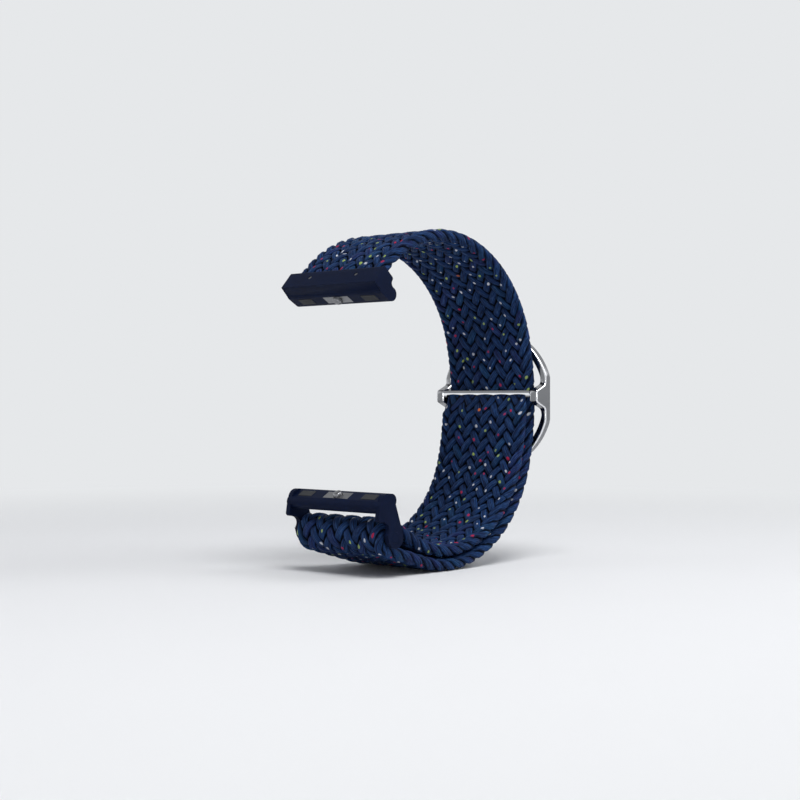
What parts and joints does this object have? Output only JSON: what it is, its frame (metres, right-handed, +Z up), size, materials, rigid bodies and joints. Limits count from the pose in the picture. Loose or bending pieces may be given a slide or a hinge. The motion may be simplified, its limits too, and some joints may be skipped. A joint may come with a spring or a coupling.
{
  "type": "braided watch strap",
  "caption": "Braided stretch watch strap, worn as a closed loop, with slide-in lug connectors and a round sliding buckle that holds its folded-back tail.",
  "frame": {"origin": "midway between the two lug inserts' axes, where the middle of the watch case's back edge would be", "axes": "+X across the band, towards the watch's crown side; +Y from the watch to the back of the wrist; +Z up the watch, from the lower lug to the upper one"},
  "size_m": [0.027, 0.0518, 0.0658],
  "materials": {
    "braid": "navy braided polyester yarn with small lime, red, white and orange flecks",
    "sealed_end": "heat-sealed braid",
    "polished_steel": "polished stainless steel",
    "plain_steel": "plain stainless steel",
    "moulding": "smooth navy moulded plastic",
    "grip_rubber": "dark soft rubber"
  },
  "bodies": {
    "strap": {"band_main": "braid", "band_tail": "braid", "band_upper_end": "sealed_end", "upper_connector": "moulding", "upper_retaining_pins": "plain_steel", "upper_latch_plate": "plain_steel", "upper_latch_spring": "plain_steel", "upper_grip_pads": "grip_rubber"},
    "buckle": {"buckle_frame": "polished_steel", "end_clamp": "polished_steel", "clamp_dowels": "plain_steel", "band_tail_end": "braid"},
    "upper_latch": {"upper_latch_plunger": "plain_steel"},
    "lower_connector": {"lower_connector": "moulding", "ring_bar": "plain_steel", "ring_bar_plugs": "moulding", "lower_latch_plate": "plain_steel", "lower_latch_spring": "plain_steel", "lower_grip_pads": "grip_rubber"},
    "lower_latch": {"lower_latch_plunger": "plain_steel"}
  },
  "joints": [
    {"name": "buckle_slide", "type": "hinge", "parent": "strap", "child": "buckle", "pos_m": [0, -0.0044, -0.0007], "axis": [1, 0, 0], "range_deg": [-4, 4], "deforming": ["band_tail"]},
    {"name": "lower_connector_swing", "type": "hinge", "parent": "strap", "child": "lower_connector", "pos_m": [0, 0.00215, -0.0257], "axis": [1, 0, 0], "range_deg": [-20, 20]},
    {"name": "upper_latch_press", "type": "slide", "parent": "strap", "child": "upper_latch", "axis": [0, 0.5, 0.866], "range_m": [0, 0.0006], "stiffness_N_per_m": 500, "springref_m": -0.0006, "deforming": ["upper_latch_spring"]},
    {"name": "lower_latch_press", "type": "slide", "parent": "lower_connector", "child": "lower_latch", "axis": [0, 0.5, -0.866], "range_m": [0, 0.0006], "stiffness_N_per_m": 500, "springref_m": -0.0006, "deforming": ["lower_latch_spring"]}
  ]
}
